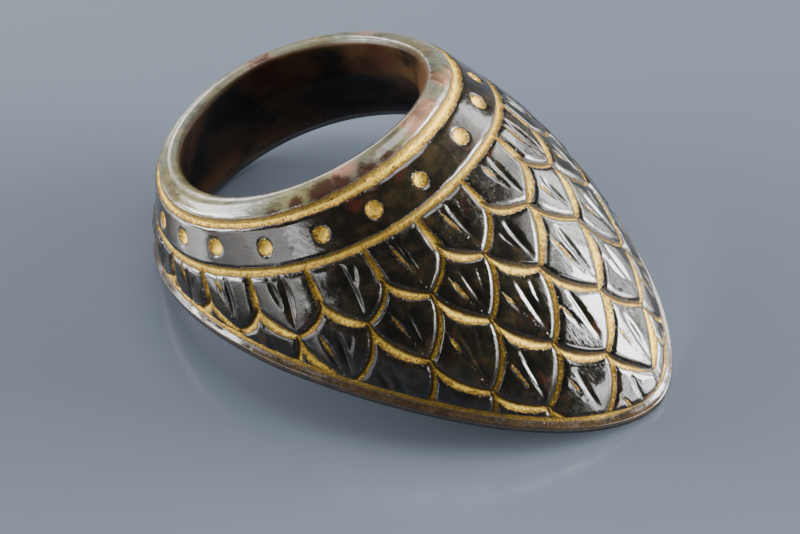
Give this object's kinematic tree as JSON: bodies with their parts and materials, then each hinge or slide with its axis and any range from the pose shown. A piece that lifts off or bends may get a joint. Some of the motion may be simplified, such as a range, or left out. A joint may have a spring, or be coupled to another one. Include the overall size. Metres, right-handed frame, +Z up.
{
  "type": "archery thumb ring",
  "caption": "Hardstone thumb ring with an oval thumb hole, a long pointed lip that covers the thumb pad, a dotted band and carved scales.",
  "frame": {"origin": "centre of the box's lower face, on the surface that the ring rests on", "axes": "+X towards the tip of the lip, +Y across the ring, +Z up"},
  "size_m": [0.0492, 0.034, 0.0234],
  "materials": {
    "stone": "polished"
  },
  "bodies": {
    "root": {"ring": "stone"}
  },
  "joints": []
}
